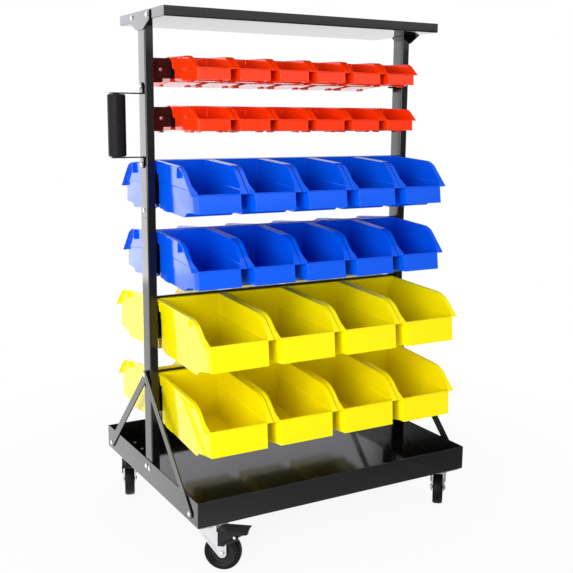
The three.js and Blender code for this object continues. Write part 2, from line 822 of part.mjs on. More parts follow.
const casterX = trayLength / 2 - caster.inset;
const casterY = trayDepth / 2 - caster.inset;
for (const spot of casterSpots) {
  const name = `caster_${spot.name}`;
  const corner = new THREE.Group();
  corner.name = name;
  corner.position.set(spot.side * casterX, spot.face * casterY, 0);
  group.add(corner);
  corner.add(piece(`${name}_plate`, makeCasterPlate(), zinc));
  const swivel = new THREE.Group();
  swivel.name = `${name}_swivel`;
  swivel.rotation.z = THREE.MathUtils.degToRad(spot.heading);
  corner.add(swivel);
  swivel.add(piece(`${name}_fork`, makeFork(), zinc));
  const wheel = piece(`${name}_wheel`, makeWheel(), dark);
  const axle = piece(`${name}_axle`, makeAxle(), zinc);
  wheel.position.set(caster.trail, 0, axleHeight);
  axle.position.copy(wheel.position);
  swivel.add(wheel, axle);
  swivel.add(piece(`${name}_pedal`, makePedal(), dark));
}

// The origin is the middle of the whole part's box, at the floor.
const bounds = new THREE.Box3().setFromObject(group);
const centre = bounds.getCenter(new THREE.Vector3());
group.position.set(-centre.x, -centre.y, -bounds.min.z);

export default group;
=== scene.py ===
import math
import bmesh
import bpy
from mathutils import Matrix, Vector


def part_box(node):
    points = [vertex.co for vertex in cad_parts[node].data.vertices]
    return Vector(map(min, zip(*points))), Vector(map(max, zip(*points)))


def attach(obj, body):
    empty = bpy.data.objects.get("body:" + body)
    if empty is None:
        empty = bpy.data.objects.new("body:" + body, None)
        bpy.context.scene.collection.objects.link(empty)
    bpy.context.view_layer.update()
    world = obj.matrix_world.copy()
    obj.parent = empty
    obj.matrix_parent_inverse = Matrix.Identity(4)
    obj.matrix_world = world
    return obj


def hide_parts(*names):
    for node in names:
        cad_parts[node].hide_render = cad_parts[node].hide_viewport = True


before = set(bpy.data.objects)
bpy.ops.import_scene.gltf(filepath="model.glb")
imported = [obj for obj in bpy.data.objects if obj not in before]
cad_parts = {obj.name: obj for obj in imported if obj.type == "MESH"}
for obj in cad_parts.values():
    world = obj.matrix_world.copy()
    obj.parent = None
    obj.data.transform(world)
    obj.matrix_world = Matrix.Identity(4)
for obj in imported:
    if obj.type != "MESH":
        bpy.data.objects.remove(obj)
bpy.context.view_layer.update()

scene = bpy.context.scene
scene.view_settings.view_transform = "Standard"
print("stage: frame loaded,", len(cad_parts), "nodes")


def turned(degrees, axis):
    return Matrix.Rotation(math.radians(degrees), 4, axis)


def addObject(name, data):
    item = bpy.data.objects.new(name, data)
    scene.collection.objects.link(item)
    return item


def meshFrom(bm, name):
    mesh = bpy.data.meshes.new(name)
    bm.to_mesh(mesh)
    bm.free()
    return mesh


# The values below are millimetres from the middle of the base tray, at floor height.
low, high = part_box("base_tray")
toFrame = Matrix.Translation(((low.x + high.x) / 2, (low.y + high.y) / 2, 0)) @ Matrix.Scale(0.001, 4)
faces = {"front": Matrix.Identity(4), "rear": turned(180, "Z")}  # turns from the front
sides = {"left": -1, "right": 1}
facings = {-1: "-x", 1: "+x"}


# Camera.
camera = dict(
    place=(-1.05006, -1.87827, 0.94318),
    yaw=0.5115,  # from +Y towards +X, in radians
    pitch=0.1724,  # downwards
    roll=0.0062,
    lens=57.232,
    shift=(0.0192, -0.0189),  # the photograph's frame lies a little off the lens's axis
)


def makeCamera(values):
    yaw, pitch, roll = values["yaw"], values["pitch"], values["roll"]
    ahead = Vector((math.sin(yaw) * math.cos(pitch), math.cos(yaw) * math.cos(pitch), -math.sin(pitch)))
    across = Vector((math.cos(yaw), -math.sin(yaw), 0))
    up = across.cross(ahead)
    right = across * math.cos(roll) + up * math.sin(roll)
    top = up * math.cos(roll) - across * math.sin(roll)
    turn = Matrix((right, top, -ahead)).transposed().to_4x4()
    data = bpy.data.cameras.new("camera")
    data.lens = values["lens"]
    data.shift_x, data.shift_y = values["shift"]
    data.clip_end = 50
    viewer = addObject("camera", data)
    viewer.matrix_world = Matrix.Translation(values["place"]) @ turn
    scene.camera = viewer


makeCamera(camera)


# Light, world and floor.
lamps = [  # name, place, point aimed at, width, height, radiance, colour
    ("softbox_back_left", (-1.3, 3.0, 1.0), (0, 0.1, 0.7), 1.1, 2.6, 2.2, (0.97, 0.95, 1.0)),
    ("softbox_front_left", (-2.9, -2.3, 1.35), (0, 0, 0.6), 1.8, 1.9, 10.4, (1.0, 1.0, 1.0)),
    ("softbox_front_right", (1.3, -2.6, 1.9), (0, 0, 0.9), 2.0, 1.2, 0.8, (1.0, 1.0, 1.0)),
    ("softbox_top", (0, 0, 3.2), (0, 0, 0), 2.4, 2.0, 1.0, (1.0, 1.0, 1.0)),
]
backdrop = dict(
    whiteness=1.0, fill=0.55, tint=(0.97, 0.95, 1.0), brightWay=(-0.6, 0.8, 0),
    glow=[
        (-1, 0.4), (0.2, 0.15), (0.265, 0.15), (0.285, 0.85), (0.4, 1.0), (0.6, 1.6), (0.93, 1.6),
        (0.99, 0.9)],
    floorGlow=[(-0.8, 0.25), (-0.42, 0.5), (-0.2, 0.85), (0.1, 1.5), (0.4, 1.7)],
    farSpan=(2.5, 6.0), farShare=0.72,
    floorColour=0.8, floorRoughness=0.9, floorSpecular=0.1, shadowShare=0.08, clearSpan=(0.5, 1.4), size=20,
)


def makeLamp(name, place, target, width, height, radiance, colour):
    data = bpy.data.lights.new(name, "AREA")
    data.shape = "RECTANGLE"
    data.size, data.size_y = width, height
    data.energy = radiance * math.pi * width * height
    data.color = colour
    lamp = addObject(name, data)
    direction = Vector(target) - Vector(place)
    lamp.matrix_world = Matrix.Translation(place) @ direction.to_track_quat("-Z", "Y").to_matrix().to_4x4()
    lamp.visible_camera = False


for lampValues in lamps:
    makeLamp(*lampValues)


# Each input takes a value or a link from another node's output.
def setInputs(tree, node, inputs):
    for key, value in inputs.items():
        if isinstance(value, bpy.types.NodeSocket):
            tree.links.new(value, node.inputs[key])
        else:
            node.inputs[key].default_value = value


def addNode(tree, kind, inputs=None, **settings):
    node = tree.nodes.new(kind)
    for key, value in settings.items():
        setattr(node, key, value)
    setInputs(tree, node, inputs or {})
    return node


def addMath(tree, operation, first, second, clamp=False):
    node = addNode(tree, "ShaderNodeMath", {0: first, 1: second}, operation=operation, use_clamp=clamp)
    return node.outputs[0]


def addNoise(tree, place, scale, detail, roughness=0.5):
    return addNode(tree, "ShaderNodeTexNoise", {
        "Vector": place, "Scale": scale, "Detail": detail, "Roughness": roughness}).outputs["Fac"]


# Takes a value from one span to another.
def addRange(tree, value, span, results=(0.0, 1.0), interpolation="LINEAR"):
    return addNode(tree, "ShaderNodeMapRange", {
        "Value": value, "From Min": span[0], "From Max": span[1], "To Min": results[0],
        "To Max": results[1]}, interpolation_type=interpolation).outputs["Result"]


def mixColours(tree, share, first, second):
    return addNode(tree, "ShaderNodeMix", {0: share, 6: first, 7: second}, data_type="RGBA").outputs[2]


# The strength of a surface of light: one for the camera, one in reflections, one for the rest.
def strengthByRay(tree, direct, reflected, rest):
    path = addNode(tree, "ShaderNodeLightPath")
    glossy = addMath(tree, "MAXIMUM", path.outputs["Is Glossy Ray"], path.outputs["Is Transmission Ray"])
    inMirror = addNode(tree, "ShaderNodeMix", {0: glossy, 2: rest, 3: reflected}).outputs[0]
    seen = path.outputs["Is Camera Ray"]
    return addNode(tree, "ShaderNodeMix", {0: seen, 2: inMirror, 3: direct}).outputs[0]


# Brightness by how far a direction or a place lies behind the cart and to its left; the stops
# give places from -1 to 1 along that way.
def brightness(tree, coordinates, way, stops):
    along = addNode(tree, "ShaderNodeVectorMath", {0: coordinates, 1: way}, operation="DOT_PRODUCT")
    ramp = addNode(tree, "ShaderNodeValToRGB", {0: addRange(tree, along.outputs["Value"], (-1.0, 1.0))})
    highest = max(level for place, level in stops)
    marks = ramp.color_ramp.elements
    while len(marks) < len(stops):
        marks.new(1.0)
    for mark, (place, level) in zip(marks, stops):
        mark.position = (place + 1) / 2
        mark.color = (level / highest, level / highest, level / highest, 1)
    return addMath(tree, "MULTIPLY", ramp.outputs["Color"], highest)


# White for the camera, and in reflections brighter behind the cart than in front of it.
def makeWorld(values):
    world = bpy.data.worlds.new("studio")
    scene.world = world
    world.use_nodes = True
    tree = world.node_tree
    tree.nodes.clear()
    facing = addNode(tree, "ShaderNodeTexCoord").outputs["Generated"]
    glow = brightness(tree, facing, values["brightWay"], values["glow"])
    strength = strengthByRay(tree, values["whiteness"], glow, values["fill"])
    glossy = addNode(tree, "ShaderNodeLightPath").outputs["Is Glossy Ray"]
    colour = mixColours(tree, glossy, (1, 1, 1, 1), (*values["tint"], 1))
    light = addNode(tree, "ShaderNodeBackground", {"Color": colour, "Strength": strength})
    addNode(tree, "ShaderNodeOutputWorld", {"Surface": light.outputs[0]})


def makeFloor(values):
    bm = bmesh.new()
    bmesh.ops.create_grid(bm, x_segments=1, y_segments=1, size=values["size"])
    mesh = meshFrom(bm, "floor")
    floor = addObject("floor", mesh)
    material = bpy.data.materials.new("pale_floor")
    material.use_nodes = True
    tree = material.node_tree
    shader = tree.nodes["Principled BSDF"]
    shade = values["floorColour"]
    setInputs(tree, shader, {
        "Base Color": (shade, shade, shade, 1), "Roughness": values["floorRoughness"],
        "Specular IOR Level": values["floorSpecular"]})
    place = addNode(tree, "ShaderNodeTexCoord").outputs["Object"]
    reach = addNode(tree, "ShaderNodeVectorMath", {0: place}, operation="LENGTH").outputs["Value"]
    far = addRange(tree, reach, values["farSpan"], (1.0, values["farShare"]), "SMOOTHSTEP")
    near = brightness(tree, place, values["brightWay"], values["floorGlow"])
    glow = addMath(tree, "MULTIPLY", near, far)
    strength = strengthByRay(tree, values["whiteness"], glow, 0.0)
    white = addNode(tree, "ShaderNodeEmission", {"Color": (1, 1, 1, 1), "Strength": strength})
    clear = addRange(tree, reach, values["clearSpan"], (1 - values["shadowShare"], 1.0), "SMOOTHSTEP")
    amount = strengthByRay(tree, clear, 1.0, 0.0)
    mix = addNode(tree, "ShaderNodeMixShader", {0: amount, 1: shader.outputs[0], 2: white.outputs[0]})
    tree.links.new(mix.outputs[0], tree.nodes["Material Output"].inputs["Surface"])
    mesh.materials.append(material)


makeWorld(backdrop)
makeFloor(backdrop)
print("stage: camera, lamps and floor")


# Shader groups.
def startGroup(name, inputs, outputs):
    tree = bpy.data.node_groups.new(name, "ShaderNodeTree")
    for label, value in inputs.items():
        socket = tree.interface.new_socket(name=label, in_out="INPUT", socket_type="NodeSocketFloat")
        socket.default_value = value
    for label in outputs:
        tree.interface.new_socket(name=label, in_out="OUTPUT", socket_type="NodeSocketFloat")
    start = tree.nodes.new("NodeGroupInput")
    end = tree.nodes.new("NodeGroupOutput")
    return tree, start.outputs, end.inputs


# Fine grain and slow waves for the bump, and soft blotches for colour and gloss.
def makeGrainGroup():
    tree, given, out = startGroup(
        "surfaceGrain", {"Grain Scale": 900.0, "Blotch Scale": 9.0, "Wave Scale": 20.0},
        ["Height", "Wave", "Blotch"])
    place = addNode(tree, "ShaderNodeTexCoord").outputs["Object"]
    tree.links.new(addNoise(tree, place, given["Grain Scale"], 2.0), out["Height"])
    tree.links.new(addNoise(tree, place, given["Wave Scale"], 0.0), out["Wave"])
    tree.links.new(addNoise(tree, place, given["Blotch Scale"], 4.0, 0.6), out["Blotch"])
    return tree


# A mask that is 1 along sharp edges, broken up by noise. It paints edges lighter: a painted edge highlight as
# well as wear.
def makeEdgeWearAndHighlightGroup():
    tree, given, out = startGroup("edgeWearAndHighlight", {"Radius": 0.0012, "Contrast": 3.0, "Breakup": 60.0}, ["Mask"])
    soft = addNode(tree, "ShaderNodeBevel", {"Radius": given["Radius"]}, samples=4)
    flat = addNode(tree, "ShaderNodeNewGeometry")
    same = addNode(tree, "ShaderNodeVectorMath", {
        0: soft.outputs["Normal"], 1: flat.outputs["Normal"]}, operation="DOT_PRODUCT")
    away = addMath(tree, "SUBTRACT", 1.0, same.outputs["Value"])
    strong = addMath(tree, "MULTIPLY", away, given["Contrast"])
    place = addNode(tree, "ShaderNodeTexCoord").outputs["Object"]
    wornAndLitEdge = addMath(tree, "MULTIPLY", strong, addNoise(tree, place, given["Breakup"], 3.0), clamp=True)
    tree.links.new(wornAndLitEdge, out["Mask"])
    return tree


# A mask for the faint dust that settles on faces that look up.
def makeDustGroup():
    tree, given, out = startGroup("dustFilm", {"Amount": 0.1, "Patch Scale": 25.0}, ["Mask"])
    up = addNode(tree, "ShaderNodeSeparateXYZ", {0: addNode(tree, "ShaderNodeNewGeometry").outputs["Normal"]})
    flat = addRange(tree, up.outputs["Z"], (0.6, 0.98))
    place = addNode(tree, "ShaderNodeTexCoord").outputs["Object"]
    speckled = addMath(tree, "MULTIPLY", flat, addNoise(tree, place, given["Patch Scale"], 5.0))
    tree.links.new(addMath(tree, "MULTIPLY", speckled, given["Amount"], clamp=True), out["Mask"])
    return tree


grainGroup, edgeWearAndHighlightGroup, dustGroup = makeGrainGroup(), makeEdgeWearAndHighlightGroup(), makeDustGroup()


# Materials.
# The edge colours below are lighter than the body colours. They are a painted edge highlight as well as wear,
# spread by the edge mask at the given strength.
plastic = dict(  # what the three plastics of the bins share
    roughness=(0.09, 0.14), specular=0.33, metallic=0.0, grainScale=1500.0,
    grainHeight=0.000004, wearAndHighlight=0.4, dust=0.02,
)
finishes = dict(
    coated_steel=dict(
        colour=(0.004, 0.0035, 0.004), second=(0.0065, 0.006, 0.0065),
        wornAndLitEdge=(0.05, 0.048, 0.052), dusty=(0.04, 0.037, 0.035), roughness=(0.07, 0.11),
        specular=0.5, metallic=0.0, grainScale=1300.0, blotchScale=7.0,
        grainHeight=0.000008, waveHeight=0.00004, wearAndHighlight=1.2, dust=0.03,
    ),
    red_plastic=dict(
        plastic, colour=(0.95, 0.04, 0.002), second=(0.91, 0.034, 0.0015),
        wornAndLitEdge=(0.95, 0.09, 0.03), dusty=(0.9, 0.08, 0.03), blotchScale=22.0,
        waveHeight=0.00012,
    ),
    blue_plastic=dict(
        plastic, colour=(0.0008, 0.105, 0.84), second=(0.0006, 0.09, 0.79),
        wornAndLitEdge=(0.01, 0.19, 0.97), dusty=(0.02, 0.12, 0.75), blotchScale=18.0,
        waveHeight=0.00014,
    ),
    yellow_plastic=dict(
        plastic, colour=(0.99, 0.85, 0.002), second=(0.97, 0.81, 0.001),
        wornAndLitEdge=(1.0, 0.95, 0.03), dusty=(0.9, 0.83, 0.03), blotchScale=14.0,
        waveHeight=0.00014,
    ),
    zinc=dict(
        colour=(0.68, 0.69, 0.7), second=(0.58, 0.59, 0.6), wornAndLitEdge=(0.85, 0.86, 0.86),
        dusty=(0.5, 0.5, 0.48), roughness=(0.26, 0.42), specular=0.5, metallic=1.0,
        grainScale=700.0, blotchScale=120.0, grainHeight=0.00001, waveHeight=0.00003,
        wearAndHighlight=1.5, dust=0.1,
    ),
    black_plastic=dict(
        colour=(0.006, 0.0055, 0.0065), second=(0.009, 0.0085, 0.01), wornAndLitEdge=(0.03, 0.03, 0.033),
        dusty=(0.05, 0.05, 0.05), roughness=(0.3, 0.4), specular=0.25, metallic=0.0,
        grainScale=1400.0, blotchScale=40.0, grainHeight=0.00003, waveHeight=0.00005,
        wearAndHighlight=1.4, dust=0.08,
    ),
    grip_foam=dict(
        colour=(0.007, 0.006, 0.008), second=(0.01, 0.0085, 0.011), wornAndLitEdge=(0.045, 0.04, 0.046),
        dusty=(0.02, 0.019, 0.02), roughness=(0.5, 0.65), specular=0.15, metallic=0.0,
        grainScale=1100.0, blotchScale=50.0, grainHeight=0.00012, waveHeight=0.0001,
        wearAndHighlight=0.8, dust=0.12,
    ),
    black_rubber=dict(
        colour=(0.003, 0.003, 0.0034), second=(0.005, 0.0048, 0.005), wornAndLitEdge=(0.02, 0.02, 0.02),
        dusty=(0.015, 0.015, 0.014), roughness=(0.42, 0.55), specular=0.12, metallic=0.0,
        grainScale=900.0, blotchScale=60.0, grainHeight=0.00004, waveHeight=0.00003,
        wearAndHighlight=1.0, dust=0.1,
    ),
)
bumpUnit = 0.001  # the height in metres that 1 stands for in a bump


def makeMaterial(name, values):
    material = bpy.data.materials.new(name)
    material.use_nodes = True
    tree = material.node_tree
    shader = tree.nodes["Principled BSDF"]
    grain = addNode(tree, "ShaderNodeGroup", {
        "Grain Scale": values["grainScale"], "Blotch Scale": values["blotchScale"]}, node_tree=grainGroup)
    edge = addNode(tree, "ShaderNodeGroup", {"Contrast": values["wearAndHighlight"]}, node_tree=edgeWearAndHighlightGroup)
    dust = addNode(tree, "ShaderNodeGroup", {"Amount": values["dust"]}, node_tree=dustGroup)
    blotch = grain.outputs["Blotch"]
    colour = mixColours(tree, blotch, (*values["colour"], 1), (*values["second"], 1))
    # Painted highlight and wear: sharp edges take the lighter edge colour through the edge mask.
    colour = mixColours(tree, edge.outputs["Mask"], colour, (*values["wornAndLitEdge"], 1))
    colour = mixColours(tree, dust.outputs["Mask"], colour, (*values["dusty"], 1))
    gloss = addRange(tree, blotch, (0.3, 0.7), values["roughness"])
    fine = addMath(tree, "MULTIPLY", grain.outputs["Height"], values["grainHeight"] / bumpUnit)
    slow = addMath(tree, "MULTIPLY", grain.outputs["Wave"], values["waveHeight"] / bumpUnit)
    bump = addNode(tree, "ShaderNodeBump", {
        "Height": addMath(tree, "ADD", fine, slow), "Strength": 1.0, "Distance": bumpUnit})
    setInputs(tree, shader, {
        "Base Color": colour, "Roughness": gloss, "Metallic": values["metallic"],
        "Specular IOR Level": values["specular"], "Normal": bump.outputs["Normal"]})
    return material


materials = {name: makeMaterial(name, values) for name, values in finishes.items()}
print("stage: materials")


# Modelling helpers.
def vertsOf(result, key="geom"):
    return [item for item in result[key] if isinstance(item, bmesh.types.BMVert)]


# A solid from an outline: axis x takes points in Y and Z, y in X and Z, z in X and Y.
def addPrism(bm, axis, points, start, end):
    number = "xyz".index(axis)
    corners = []
    for point in points:
        place = list(point)
        place.insert(number, start)
        corners.append(bm.verts.new(place))
    face = bm.faces.new(corners)
    grown = vertsOf(bmesh.ops.extrude_face_region(bm, geom=[face]))
    shift = [0, 0, 0]
    shift[number] = end - start
    bmesh.ops.translate(bm, verts=grown, vec=shift)
    return corners + grown


def addBlock(bm, lowest, highest):
    size = Vector(highest) - Vector(lowest)
    middle = (Vector(highest) + Vector(lowest)) / 2
    matrix = Matrix.Translation(middle) @ Matrix.Diagonal((*size, 1))
    return bmesh.ops.create_cube(bm, size=1, matrix=matrix)["verts"]


wayTurns = {  # from Z to each way
    "+x": turned(90, "Y"), "-x": turned(-90, "Y"), "+y": turned(-90, "X"), "-y": turned(90, "X"),
    "+z": Matrix.Identity(4), "-z": turned(180, "X"),
}


def addCylinder(bm, axis, centre, radius, length, segments):
    matrix = Matrix.Translation(centre) @ wayTurns["+" + axis]
    return bmesh.ops.create_cone(
        bm, cap_ends=True, segments=segments, radius1=radius, radius2=radius, depth=length,
        matrix=matrix)["verts"]


def bevelEdges(bm, edges, width, segments):
    bmesh.ops.bevel(
        bm, geom=list(edges), offset=width, offset_type="OFFSET", affect="EDGES",
        segments=segments, profile=0.5, material=-1, clamp_overlap=True)


# Edges of given vertices that run along one axis and pass a test of their middle.
def edgesAlong(verts, axis, test=lambda middle: True):
    number = "xyz".index(axis)
    found = []
    for edge in dict.fromkeys(edge for vert in verts if vert.is_valid for edge in vert.link_edges):
        way = (edge.verts[1].co - edge.verts[0].co).normalized()
        middle = (edge.verts[0].co + edge.verts[1].co) / 2
        if abs(way[number]) > 0.999 and test(middle):
            found.append(edge)
    return found


# A lathe form about an axis: the profile's points are (radius, place along the axis).
def addLathe(bm, axis, centre, profile, segments, closed=False):
    corners = [bm.verts.new((radius, 0, along)) for radius, along in profile]
    pairs = list(zip(corners, corners[1:])) + ([(corners[-1], corners[0])] if closed else [])
    edges = [bm.edges.new(pair) for pair in pairs]
    made = bmesh.ops.spin(
        bm, geom=corners + edges, cent=(0, 0, 0), axis=(0, 0, 1), angle=2 * math.pi,
        steps=segments, use_merge=True)
    known = dict.fromkeys(corners + vertsOf(made, "geom_last"))
    linked = list(known)
    for vert in linked:  # the list grows on the way
        for edge in vert.link_edges:
            other = edge.other_vert(vert)
            if other not in known:
                known[other] = True
                linked.append(other)
    bmesh.ops.transform(bm, matrix=Matrix.Translation(centre) @ wayTurns["+" + axis], verts=linked)
    return linked


sharpFrom = 38  # degrees between two faces from which their edge is drawn sharp
roundFrom = 32  # and from which it is rounded


def finishPiece(bm, name, body, finish, nodes=(), bevel=0.4, segments=2, place=None, merge=True):
    if merge:
        bmesh.ops.remove_doubles(bm, verts=bm.verts, dist=0.001)
    bmesh.ops.recalc_face_normals(bm, faces=bm.faces)
    bmesh.ops.transform(bm, matrix=toFrame @ (place or Matrix.Identity(4)), verts=bm.verts)
    mesh = meshFrom(bm, name)
    piece = addObject(name, mesh)
    if bevel:
        rounding = piece.modifiers.new("rounding", "BEVEL")
        rounding.width = bevel * 0.001
        rounding.segments = segments
        rounding.limit_method = "ANGLE"
        rounding.angle_limit = math.radians(roundFrom)
        rounding.miter_outer = "MITER_ARC"
    mesh.shade_smooth()
    mesh.set_sharp_from_angle(angle=math.radians(sharpFrom))
    smoothing = piece.modifiers.new("smoothing", "WEIGHTED_NORMAL")
    smoothing.keep_sharp = True
    mesh.materials.append(materials[finish])
    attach(piece, body)
    if nodes:
        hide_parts(*nodes)


# Trays.
trays = dict(
    base_tray=dict(
        halfLength=350, halfDepth=276, bottom=108, top=164, sheet=2, bend=3,
        hemHeight=9, hemFold=1.2,
    ),
    top_tray=dict(
        halfLength=347.7, halfDepth=127.5, bottom=1141.5, top=1162.5, sheet=2, bend=2.5,
        hemHeight=0, hemFold=0,
    ),
)


def makeTray(name, values):
    bm = bmesh.new()
    halfLength, halfDepth, sheet = values["halfLength"], values["halfDepth"], values["sheet"]
    addBlock(bm, (-halfLength, -halfDepth, values["bottom"]), (halfLength, halfDepth, values["top"]))
    lid = [face for face in bm.faces if face.normal.z > 0.9]
    bmesh.ops.delete(bm, geom=lid, context="FACES_ONLY")
    below = [edge for edge in bm.edges if all(vert.co.z < values["bottom"] + 1 for vert in edge.verts)]
    bevelEdges(bm, below, values["bend"], 3)
    bmesh.ops.solidify(bm, geom=bm.faces[:], thickness=sheet)
    if values["hemHeight"]:
        for side in (-1, 1):
            wall = halfDepth - sheet
            near, away = sorted((side * (wall - 0.02), side * (wall - values["hemFold"])))
            addBlock(
                bm, (-halfLength + sheet, near, values["top"] - values["hemHeight"]),
                (halfLength - sheet, away, values["top"]))
    finishPiece(bm, name + "_sheet", "frame", "coated_steel", [name], bevel=0.5)


for trayName, trayValues in trays.items():
    makeTray(trayName, trayValues)
print("stage: trays")


# Bolts.
fasteners = dict(
    bolt=dict(radius=5.0, height=3.2, washer=5.8, washerHeight=0.6, sides=20),
    small=dict(radius=3.2, height=2.2, washer=4.0, washerHeight=0.4, sides=16),
    axle=dict(radius=5.6, height=3.4, washer=7.5, washerHeight=0.8, sides=20),
)
crown = [(1, 0.35), (0.95, 0.6), (0.8, 0.82), (0.5, 0.96), (0, 1)]  # shares of the radius and the height


# A round head with a domed crown on a washer.
def addBolt(bm, kind, place, facing):
    values = fasteners[kind]
    profile = [(0, 0), (values["radius"], 0)]
    profile += [(values["radius"] * across, values["height"] * rise) for across, rise in crown]
    verts = addLathe(bm, "z", (0, 0, 0), profile, values["sides"])
    thickness = values["washerHeight"]
    verts += addCylinder(bm, "z", (0, 0, thickness / 2), values["washer"], thickness, 20)
    matrix = Matrix.Translation(place) @ wayTurns[facing]
    bmesh.ops.transform(bm, matrix=matrix, verts=verts)
    bmesh.ops.remove_doubles(bm, verts=verts, dist=0.0005)


def makeBolts(name, body, kind, spots, place=None):
    bm = bmesh.new()
    for spot, facing in spots:
        addBolt(bm, kind, spot, facing)
    finishPiece(bm, name, body, "zinc", bevel=0, place=place, merge=False)


# Uprights.
uprights = dict(
    inner=327.7, outer=347.7, halfDepth=20.25, wall=2, corner=3.2, bottom=110.3,
    top=1141.2, seam=723, seamGap=0.3, boltRise=17,
    tabSheet=3, tabReach=28, tabCorner=6, weld=1.6, weldInset=4,
)
tabs = dict(  # the end tabs of a rail: how far they and their bolts hang, and how low the rail's lip ends
    red=dict(tabDrop=52, boltDrops=(24,), lipStop=2),
    blue=dict(tabDrop=94, boltDrops=(34, 64), lipStop=2),
    yellow=dict(tabDrop=98, boltDrops=(34, 68), lipStop=6),
)
levels = [  # the bins on each pair of rails from the top down, and how far they lean, in degrees
    dict(tabs[kind], kind=kind, lean=dict(front=front, rear=rear)) for kind, front, rear in (
        ("red", 1.0, 5.0), ("red", 1.5, 4.0), ("blue", 3.3, 4.8),
        ("blue", 4.0, 4.8), ("yellow", 3.0, 3.8), ("yellow", 5.2, 5.2))
]
for number, level in enumerate(levels, 1):
    level["height"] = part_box(f"rail_front_{number}")[1].z * 1000


# Opens a block at both ends and leaves a wall round it.
def hollowOut(bm, wall):
    ends = [face for face in bm.faces if abs(face.normal.z) > 0.9]
    bmesh.ops.delete(bm, geom=ends, context="FACES_ONLY")
    bmesh.ops.solidify(bm, geom=bm.faces[:], thickness=wall)


def makeTube(name, side, start, end, values):
    bm = bmesh.new()
    inner, outer, halfDepth = values["inner"], values["outer"], values["halfDepth"]
    left, right = sorted((side * inner, side * outer))
    verts = addBlock(bm, (left, -halfDepth, start), (right, halfDepth, end))
    bevelEdges(bm, edgesAlong(verts, "z"), values["corner"], 4)
    hollowOut(bm, values["wall"])
    half = values["tabSheet"] / 2
    for level in levels:
        if not start < level["height"] < end:
            continue
        top, bottom = level["height"], level["height"] - level["tabDrop"]
        reach = side * (inner - values["tabReach"])
        root = side * (inner + 0.4)
        outline = [(root, top), (root, bottom), (reach, bottom), (reach, top)]
        tab = addPrism(bm, "y", outline, -half, half)
        corner = edgesAlong(tab, "y", lambda middle: abs(middle.x - reach) < 1 and middle.z < bottom + 1)
        bevelEdges(bm, corner, values["tabCorner"], 5)
        for face in (-1, 1):
            length = level["tabDrop"] - 2 * values["weldInset"]
            middle = (side * inner, face * half, (top + bottom) / 2)
            addCylinder(bm, "z", middle, values["weld"], length, 8)
    finishPiece(bm, name + "_tube", "frame", "coated_steel", [name], bevel=0.4)


# The sleeve that joins an upright's two lengths is hidden inside them.
def makeSleeve(name, values):
    bm = bmesh.new()
    corners = [toFrame.inverted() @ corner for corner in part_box(name)]
    verts = addBlock(bm, *corners)
    bevelEdges(bm, edgesAlong(verts, "z"), values["corner"] - values["wall"], 3)
    hollowOut(bm, values["wall"])
    finishPiece(bm, name + "_tube", "frame", "zinc", [name], bevel=0.3, segments=1)


for name, side in sides.items():
    makeSleeve(f"upright_sleeve_{name}", uprights)
    makeTube(f"upright_{name}_lower", side, uprights["bottom"], uprights["seam"], uprights)
    makeTube(f"upright_{name}_upper", side, uprights["seam"] + uprights["seamGap"], uprights["top"], uprights)
    height = uprights["seam"] + uprights["boltRise"]
    makeBolts(f"seam_bolt_{name}", "frame", "bolt", [((side * uprights["outer"], 0, height), facings[side])])
    makeBolts(f"seam_nut_{name}", "frame", "small", [((side * uprights["inner"], 0, height), facings[-side])])
print("stage: uprights")


# Brackets and braces.
bracket = dict(
    inner=348.0, sheet=3, top=1161, halfWidth=55, shoulder=1141, footHalfWidth=19.5,
    foot=1123, corner=3, footCorner=5, boltOffset=43.5, boltDrop=9.5,
)
brace = dict(
    halfWidth=10, sheet=3, topHeight=367.5, bottomHeight=129.5, bottomOffset=240,
    topFace=348.0, outerStand=3.65, lipFace=350.3, trayRim=164,
    footBoltY=10, footBoltHeight=147.2,  # the bolts that hold the upright's foot to the tray
)


def makeBracket(name, side, values):
    bm = bmesh.new()
    width, foot = values["halfWidth"], values["footHalfWidth"]
    points = [
        (-width, values["top"]), (-width, values["shoulder"]), (-foot, values["foot"]),
        (foot, values["foot"]), (width, values["shoulder"]), (width, values["top"]),
    ]
    inner = side * values["inner"]
    verts = addPrism(bm, "x", points, inner, inner + side * values["sheet"])
    shoulders = edgesAlong(verts, "x", lambda middle: middle.z > values["shoulder"] - 1)
    bevelEdges(bm, shoulders, values["corner"], 4)
    feet = edgesAlong(bm.verts, "x", lambda middle: middle.z < values["foot"] + 1)
    bevelEdges(bm, feet, values["footCorner"], 4)
    finishPiece(bm, name + "_plate", "frame", "coated_steel", [name], bevel=0.5)
    outer = side * (values["inner"] + values["sheet"])
    height = values["top"] - values["boltDrop"]
    spots = [((outer, face * values["boltOffset"], height), facings[side]) for face in (-1, 1)]
    makeBolts(name + "_bolts", "frame", "bolt", spots)


